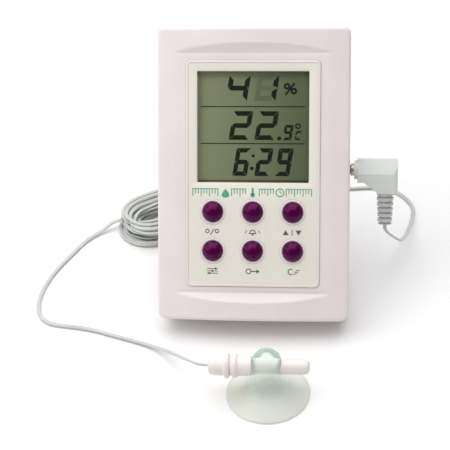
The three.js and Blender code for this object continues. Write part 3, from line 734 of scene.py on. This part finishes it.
def make_front_case():
    """The front shell: the fascia's pocket, the crowned front, the sides down to the split, the window."""
    shell = Shell()
    gap = 0.05
    half, corner = FASCIA["half"] + gap, FASCIA["corner"] + gap
    low, high = FASCIA["low"] - gap, FASCIA["high"] + gap
    pocket = rounded_loop(-half, half, low, high, corner, None, 0, 12, (60, 80))
    rim, edge = body_outline(BODY["edge"]), BODY["edge"]
    rows = [[(u, v, FASCIA["back"] - 0.2) for u, v, _ in pocket]]
    rows.append([(u, v, PANEL_FLOOR - 0.12) for u, v, _ in pocket])
    steps = 64
    for k in range(steps + 1):
        share = (k / steps) * 0.992 + 0.008
        rows.append([])
        for (u0, v0, _), (u1, v1, _) in zip(pocket, rim):
            u, v = u0 + (u1 - u0) * share, v0 + (v1 - v0) * share
            rows[-1].append((u, v, front_height(u, v)))
    for k in range(1, 9):
        angle = math.radians(90 * k / 8)
        inset = edge * (1 - math.sin(angle))
        rows.append([(u, v, front_height(u0, v0) - edge * (1 - math.cos(angle)))
                     for (u, v, _), (u0, v0, _) in zip(body_outline(inset), rim)])
    for n in (14.5, 12.5, BODY["split"] + 0.25):
        rows.append(body_outline(0, n))
    rows.append(body_outline(0.08, BODY["split"] + 0.07))
    rows.append(body_outline(0.3, BODY["split"]))
    rows.append(body_outline(1.8, BODY["split"]))
    shell.bands(rows)
    shell.bands([window_outline(out, n, 0.5, 4, (8, 8))
                 for out, n in ((1.2, 16.1), (0.1, 16.1), (0, 16.0), (0, 15.25))])
    front = shell.object("case_front", case_plastic, CASE, 50)
    stand_for(front, "housing", "case_plastic", "front_case")


def make_fascia():
    """The cream panel, with a border in the case's colour, the window opening and a collar round each key."""
    f = FASCIA
    n = f["front"]

    def outline(t, height):
        return rounded_loop(-f["half"] + t, f["half"] - t, f["low"] + t, f["high"] - t,
                            max(f["corner"] - t, 0.8), None, height, 10, (40, 60))

    border = Shell()
    border.bands([outline(t, height) for t, height in (
        (0, f["back"]), (0, n - 0.4), (0.06, n - 0.2), (0.2, n - 0.06), (0.4, n), (0.7, n), (0.86, n - 0.04),
        (0.96, n - 0.14), (1.0, n - 0.3))])
    stand_for(border.object("fascia_border", case_plastic, CASE, 50), "housing", "fascia")
    shell = Shell()
    top = n - 0.16
    opening = [window_outline(t, height, 0.3 + t, 6, (30, 30))
               for t, height in ((0.25, top), (0.08, top - 0.07), (0, top - 0.25), (0, f["back"] - 0.2))]
    shell.bands(opening)
    holes = [opening[0]]
    collars = Shell()
    for u, v in BUTTON_PLACES:
        hole = [circle(u, v, radius, height, 56)
                for radius, height in ((4.85, top), (4.8, top - 0.08), (4.8, n - 0.6))]
        shell.bands(hole)
        holes.append(hole[0])
        collars.bands([circle(u, v, radius, height, 56) for radius, height in (
            (4.78, n - 0.5), (4.74, top + 0.02), (4.55, top + 0.14), (4.3, top + 0.16), (4.08, top + 0.08),
            (3.86, top - 0.1), (3.76, f["back"]))])
    shell.plane(outline(1.0, top), holes, top)
    stand_for(collars.object("key_collars", case_plastic, CASE, 50), "housing", "fascia")
    stand_for(shell.object("fascia", fascia_plastic, CASE, 40), "housing", "fascia", "fascia_panel")


# ---------------------------------------------------------------- printing on the fascia: marks, not words

class Print:
    """Flat ink marks, a hair above a surface, each a closed outline in case coordinates."""

    def __init__(self, n):
        self.shell = Shell()
        self.n = n

    def shape(self, outline):
        low, high = self.n - 0.02, self.n + 0.015
        self.shell.bands([[(u, v, n) for u, v, *_ in outline] for n in (low, high)])
        self.shell.plane([(u, v) for u, v, *_ in outline], [], high)

    def bar(self, u0, v0, u1, v1, width):
        along = Vector((u1 - u0, v1 - v0))
        side = Vector((-along.y, along.x)).normalized() * width / 2
        self.shape([(u0 - side.x, v0 - side.y), (u1 - side.x, v1 - side.y), (u1 + side.x, v1 + side.y),
                    (u0 + side.x, v0 + side.y)])

    def ring(self, u, v, radius, width, start=0, sweep=360):
        steps = max(6, round(sweep / 15))
        angles = [math.radians(start + sweep * i / steps) for i in range(steps + 1)]
        for a, b in zip(angles, angles[1:]):
            outer, inner = radius + width / 2, radius - width / 2
            self.shape([(u + r * math.cos(t), v + r * math.sin(t)) for r, t in
                        ((inner, a), (outer, a), (outer, b), (inner, b))])

    def disc(self, u, v, radius):
        self.shape(circle(u, v, radius, 0, 16))

    def object(self, name, ink, slot):
        stand_for(self.shell.object(name, ink, CASE, 40, 0.0001), "housing", slot)


FASCIA_PRINT_N = FASCIA["front"] - 0.145
LIT = {"1": "bc", "2": "abged", "4": "fgbc", "6": "afgecd", "9": "abcdfg", "C": "afed"}
DIGIT_SLANT = math.tan(math.radians(9.5))
# The readings: digits, lower left corner, width, height and stroke.
READINGS = [
    ("4", -10.6, 82.5, 8.0, 9.6, 1.85), ("1", 0.1, 82.5, 8.0, 9.6, 1.85),
    ("2", -9.4, 68.0, 7.5, 10.7, 1.75), ("2", 0.3, 68.0, 7.5, 10.7, 1.75),
    ("9", 10.8, 68.0, 3.3, 5.6, 1), ("C", 15.3, 68.0, 2.5, 3.4, 0.7),
    ("6", -8.0, 54.5, 5.5, 10.4, 1.65), ("2", 0.3, 54.5, 5.5, 10.4, 1.65), ("9", 7.9, 54.5, 5.5, 10.4, 1.65),
]


def segment_shapes(width, height, thick):
    """The seven mitred strokes of an upright digit, each an outline from its lower left corner."""
    gap, middle, half = 0.13, height / 2, thick / 2
    top = [(gap, height), (width - gap, height), (width - thick, height - thick), (thick, height - thick)]
    upper = [(0, height - gap), (thick, height - thick - gap), (thick, middle + half + gap),
             (0, middle + gap)]
    point, shoulder = gap + 0.1 * thick, 0.75 * thick
    bar = [(point, middle), (shoulder, middle + half), (width - shoulder, middle + half),
           (width - point, middle), (width - shoulder, middle - half), (shoulder, middle - half)]
    lower = [(x, height - y) for x, y in upper]
    return {
        "a": top, "b": [(width - x, y) for x, y in upper], "c": [(width - x, y) for x, y in lower],
        "d": [(x, height - y) for x, y in top], "e": lower, "f": upper, "g": bar,
    }


def seven_segments(ink, lit, u, v, width, height, thick):
    """Inks the lit strokes of a leaning digit."""
    shapes = segment_shapes(width, height, thick)
    for name in lit:
        ink.shape([(u + x + y * DIGIT_SLANT, v + y) for x, y in shapes[name]])


def make_display():
    """The display's glass and its figures: humidity, temperature and time, with the plain unit signs."""
    paint("lcd_glass", display_glass)
    ghost, ink = Print(15.22), Print(15.24)
    # The unlit strokes beside the 1 show faintly.
    seven_segments(ghost, "adefg", *READINGS[1][1:])
    for character, *place in READINGS:
        seven_segments(ink, LIT[character], *place)
    for v in (80.4, 66.6):
        ink.bar(-19.9, v, 19.2, v, 0.38)
    ink.disc(9.6, 68.6, 0.76)
    ink.disc(-0.1, 62.0, 0.62)
    ink.disc(-0.6, 57.3, 0.7)
    ink.ring(16.6, 73.2, 0.8, 0.55)
    ink.bar(11.9, 84.8, 15.3, 89.2, 0.7)
    for u, v in ((12.5, 88.0), (15.0, 86.2)):
        ink.ring(u, v, 0.85, 0.75)
    ghost.object("display_unlit_segments", ghost_ink, "display")
    ink.object("display_segments", segment_ink, "display")


def make_fascia_print():
    """A teal scale with a drop, a thermometer and a clock face on it, and a mark below each button."""
    teal, grey = Print(FASCIA_PRINT_N), Print(FASCIA_PRINT_N)
    v = 48.5
    for u0, ticks in ((-22.5, 10), (-7.9, 6), (2.5, 6), (12.5, 10)):
        for k in range(ticks):
            low = v - 1.4 if k % 3 == 0 else v - 0.5
            teal.bar(u0 + 1.05 * k, low, u0 + 1.05 * k, v + 1.4, 0.36)
        teal.bar(u0 - 0.18, v + 1.3, u0 + 1.05 * (ticks - 1) + 0.18, v + 1.3, 0.3)
    teal.shape([(-10.2 + 1.2 * math.sin(t) * (1 - math.cos(t)) ** 0.8, v - 0.25 + 1.75 * math.cos(t))
                for t in (2 * math.pi * i / 24 for i in range(24))])
    teal.disc(0, v - 1.0, 0.85)
    teal.bar(0, v - 0.9, 0, v + 1.75, 0.75)
    teal.ring(10.2, v, 1.45, 0.42)
    teal.bar(10.2, v, 10.2, v + 0.95, 0.35)
    teal.bar(10.2, v, 10.95, v - 0.2, 0.35)
    make_key_marks(grey, 33.5, 18.8)
    teal.object("fascia_mark_row", teal_ink, "fascia")
    grey.object("button_marks", grey_ink, "fascia")


def make_key_marks(grey, upper, lower):
    """Degrees, a bell and two arrowheads in the upper row, then sliders, an outward arrow and a moon."""
    for u in (-17.0, -13.4):
        grey.ring(u, upper + 0.4, 0.65, 0.34)
    grey.bar(-15.9, upper - 1.0, -14.5, upper + 1.1, 0.34)
    grey.ring(0, upper - 0.15, 1.0, 0.36, 0, 180)
    grey.bar(-1.4, upper - 0.4, 1.4, upper - 0.4, 0.36)
    grey.disc(0, upper - 0.9, 0.34)
    grey.bar(-2.7, upper - 0.3, -2.2, upper + 0.8, 0.28)
    grey.bar(2.7, upper - 0.3, 2.2, upper + 0.8, 0.28)
    for u, turn in ((12.4, 1), (17.2, -1)):
        foot = upper - 0.9 * turn
        grey.shape([(u - 1.15, foot), (u + 1.15, foot), (u, upper + turn)][::turn])
    grey.bar(14.8, upper - 1.1, 14.8, upper + 1.1, 0.32)
    for k in range(3):
        height = lower - 0.85 + 0.85 * k
        grey.bar(-17.1, height, -13.1, height, 0.28)
        grey.disc(-16.3 + 1.2 * k, height, 0.4)
    grey.ring(-1.5, lower, 0.9, 0.36)
    grey.bar(-0.4, lower, 2.0, lower, 0.36)
    grey.shape([(1.5, lower - 0.8), (2.7, lower), (1.5, lower + 0.8)])
    grey.ring(14.4, lower, 1.0, 0.38, 60, 240)
    for k in range(3):
        u, v = 15.2 + 0.6 * k, lower - 0.8 + 0.7 * k
        grey.bar(u, v, u + 1.3, v, 0.28)


def make_buttons():
    """Six domed rubber keys, a hair proud of the lips they rise through."""
    profile = [(0, 16.6), (3.6, 16.6), (3.7, 17.0), (3.7, 18.75)]
    dome, top = 4.3, 21
    for reach in (3.66, 3.5, 3.25, 2.9, 2.5, 2.0, 1.4, 0.7, 0):
        profile.append((reach, top - dome + math.sqrt(dome ** 2 - reach ** 2)))
    for k, (u, v) in enumerate(BUTTON_PLACES, 1):
        place = CASE @ Matrix.Translation(Vector((u, v, 0)) * MM)
        key = turned(f"key_{k}", profile, button_rubber, place, 0.3, 56, 60)
        stand_for(key, f"button_{k}", "button_purple", f"button_{k}")


# ---------------------------------------------------------------- plug, probe and suction cup

def soften(piece, width, angle):
    """Cleans a CAD piece's flat faces and rounds its edges sharper than an angle, with modifiers only."""
    merge = piece.modifiers.new("merge", "WELD")
    merge.merge_threshold = 0.002 * MM
    flat = piece.modifiers.new("flat faces", "DECIMATE")
    flat.decimate_type = "DISSOLVE"
    flat.angle_limit = math.radians(1.5)
    edge = piece.modifiers.new("rounded edges", "BEVEL")
    edge.width = width * MM
    edge.segments = 3
    edge.limit_method = "ANGLE"
    edge.angle_limit = math.radians(angle)
    edge.harden_normals = True
    edge.use_clamp_overlap = True
    piece.data.shade_smooth()


def paint(name, finish):
    piece = nodes[name]
    piece.data.materials.clear()
    piece.data.materials.append(finish)
    return piece


def make_plug():
    """The plug's body, the turned parts of its jack pin, and the ribbed relief."""
    soften(paint("plug_body", plug_plastic), 0.22, 15)
    along = PLUG @ ALONG_X
    sleeve = turned("plug_ring", [
        (0, 28.2), (1.75, 28.2), (1.75, 36.35), (2.15, 36.4), (2.4, 36.55), (2.4, 36.9),
        (2.2, 37.0), (2.2, 37.1), (2.4, 37.2), (2.4, 37.6), (0, 37.6)],
        nickel, along, 0.12)
    stand_for(sleeve, "plug", "plug_nickel", "plug_sleeve")
    tip = turned("plug_point", [
        (0, 22.4), (0.6, 22.5), (1.25, 23.2), (1.6, 24.2), (1.45, 24.7), (1.1, 25), (1.2, 25.4),
        (1.75, 25.8), (1.75, 26.9), (0, 26.9)],
        nickel, along, 0.2)
    stand_for(tip, "plug", "plug_nickel", "plug_tip")
    ring = turned("plug_insulating_ring", [(0, 26.9), (1.72, 26.9), (1.72, 28.2), (0, 28.2)],
                  inner_finish("black_plastic"), along, 0.1)
    stand_for(ring, "plug", "black_plastic", "plug_insulator")
    make_relief()


def make_relief():
    """The ribbed, tapered sleeve on the lead, with a groove after each rib."""
    start, length, ribs, sides, depth = 8.6, 12.3, 6, 48, 0.9
    pitch = length / ribs
    shell = Shell()
    rows = []
    for k in range(ribs * 8 + 1):
        down = k / 8
        here = down % 1
        radius = 3.3 - 0.6 * down / ribs
        if here >= 0.5 and k < ribs * 8:
            radius -= depth * min(1, (here - 0.5) * 8, (1 - here) * 8)
        rows.append([(x, y * 0.94, z) for x, y, z in circle(0, 0, radius, -start - down * pitch, sides)])
    made = shell.bands(rows)
    shell.cap(made[0])
    shell.cap(made[-1])
    at_arm = PLUG @ Matrix.Translation(Vector((RELIEF_X, 0, 0)) * MM)
    upright = at_arm @ Matrix.Rotation(math.radians(-90), 4, "X")
    relief = shell.object("lead_relief", relief_plastic, upright, 30)
    stand_for(relief, "plug", "relief_grey", "plug_strain_relief")


def make_probe():
    """The probe's end cap and its tube, turned about the lead's end."""
    left, along = PROBE_LEFT, PROBE @ ALONG_X
    cap = turned("probe_end_cap", [
        (0, left), (2.3, left), (3.25, left + 0.5), (3.55, left + 1.7), (3.7, left + 3.2), (3.72, left + 5.6),
        (4.1, left + 5.9), (4.62, left + 6.1), (4.7, left + 6.9), (4.4, left + 7.6), (3.6, left + 7.9),
        (0, left + 7.9)],
        probe_plastic, along, 0.35, 72, 40)
    stand_for(cap, "housing", "probe_plastic", "probe_cap")
    tip = PROBE_TIP
    tube = turned("probe_housing", [
        (0, left + 7.9), (3.6, left + 7.95), (3.75, left + 8.5), (4.35, left + 8.75), (4.5, left + 9.4),
        (4.4, left + 10.2), (3.9, left + 10.7), (3.72, left + 11.3), (3.7, left + 15.3), (3.5, left + 15.8),
        (2.85, left + 15.8), (2.82, tip - 2.2), (2.6, tip - 1.0), (1.9, tip - 0.2), (0.9, tip), (0, tip)],
        probe_plastic, along, 0.5, 72, 40)
    stand_for(tube, "housing", "probe_plastic", "probe_tube")


def make_cup():
    """Soft clear cup: a thin dished disc, a waist and a round head with the probe pushed through it."""
    centre = (sum(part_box("suction_cup"), Vector()) / 2) / MM
    place = Matrix.Translation(Vector((centre.x, PROBE_Y, 0)) * MM)
    cup = turned("clear_cup", [
        (0, 3.4), (4, 3.3), (8, 2.5), (11.2, 1.25), (13.4, 0.35), (14.9, 0.05), (15.35, 0.2), (15.4, 0.55),
        (14.9, 0.9), (12.8, 1.9), (10.2, 3.1), (7.4, 4.6), (5.9, 5.7), (5.45, 7.0), (5.15, 8.2), (4.9, 9.1),
        (5.1, 10.2), (5.6, 11.8), (5.8, 13.6), (5.7, 15.8), (5.1, 18), (3.9, 19.8), (2.1, 20.9), (0, 21.2)],
        soft_clear, place, 0.6, 96, 60)
    drill = turned("drill", [(0, -12), (3.0, -12), (3.0, 12), (0, 12)], soft_clear,
                   place @ Matrix.Translation((0, 0, PROBE_Z * MM)) @ ALONG_X, 0.05, 64)
    hole = cup.modifiers.new("probe hole", "BOOLEAN")
    hole.object = drill
    hole.operation = "DIFFERENCE"
    hole.solver = "EXACT"
    apply_modifiers(cup)
    bpy.data.objects.remove(drill)
    stand_for(cup, "suction_cup", "clear_rubber", "suction_cup")


def apply_modifiers(piece):
    bpy.context.view_layer.update()
    made = bpy.data.meshes.new_from_object(piece.evaluated_get(bpy.context.evaluated_depsgraph_get()))
    piece.modifiers.clear()
    piece.data = made
    made.shade_smooth()
    made.set_sharp_from_angle(angle=math.radians(40))


# ---------------------------------------------------------------- the back and the inside

def make_back():
    """The rear cover, battery door and stand keep their CAD shape, with softened edges."""
    for name, width in (("rear_cover", 0.3), ("battery_door", 0.25), ("stand", 0.4)):
        soften(paint(name, rear_plastic), width, 40)


def finish_inside():
    """Every CAD piece that still shows gets its slot's procedural finish."""
    for node, piece in nodes.items():
        if piece.hide_render or not piece.data.materials:
            continue
        slot = piece.data.materials[0].name.split(".")[0]
        if slot in INNER_LOOKS:
            paint(node, inner_finish(slot))
            piece.data.shade_smooth()
            piece.data.set_sharp_from_angle(angle=math.radians(30))
    paint("lcd_window", clear_pane)


make_tie()
make_front_case()
make_fascia()
make_display()
make_fascia_print()
make_buttons()
make_plug()
make_probe()
make_cup()
make_back()
finish_inside()

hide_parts("cord_plug_side", "cord_hank", "cord_probe_side")
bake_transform(lead)


# ---------------------------------------------------------------- floor and light

def make_floor():
    finish = Finish("floor", 0.85)
    finish.mottle((0.88, 0.88, 0.88, 1), 0.004, 60, 0.0, 3)
    shell = Shell()
    side = 2500
    corners = [(-side, -side, 0), (side, -side, 0), (side, side, 0), (-side, side, 0)]
    shell.faces.append(tuple(shell.loop(corners)))
    shell.object("floor", finish.material)


def make_softbox(name, azimuth, elevation, distance, size, watts):
    """A square lamp that faces the object, at a compass angle seen from above (0 is in front)."""
    a, e = math.radians(azimuth), math.radians(elevation)
    away = Vector((math.sin(a) * math.cos(e), -math.cos(a) * math.cos(e), math.sin(e)))
    data = bpy.data.lights.new(name, "AREA")
    data.shape = "SQUARE"
    data.size = size
    data.energy = watts
    lamp = bpy.data.objects.new(name, data)
    turn = away.to_track_quat("Z", "Y").to_matrix().to_4x4()
    lamp.matrix_world = Matrix.Translation(CAMERA_TARGET + away * distance) @ turn
    scene.collection.objects.link(lamp)


def make_light():
    world = bpy.data.worlds.new("studio")
    world.use_nodes = True
    sky = world.node_tree.nodes["Background"]
    sky.inputs["Color"].default_value = (1, 1, 1, 1)
    sky.inputs["Strength"].default_value = 0.36
    scene.world = world
    make_softbox("overhead", 180, 80, 0.9, 1.2, 9.6)
    make_softbox("left", -72, 42, 0.4, 0.35, 0.55)
    scene.view_settings.view_transform = "Standard"


make_floor()
make_light()
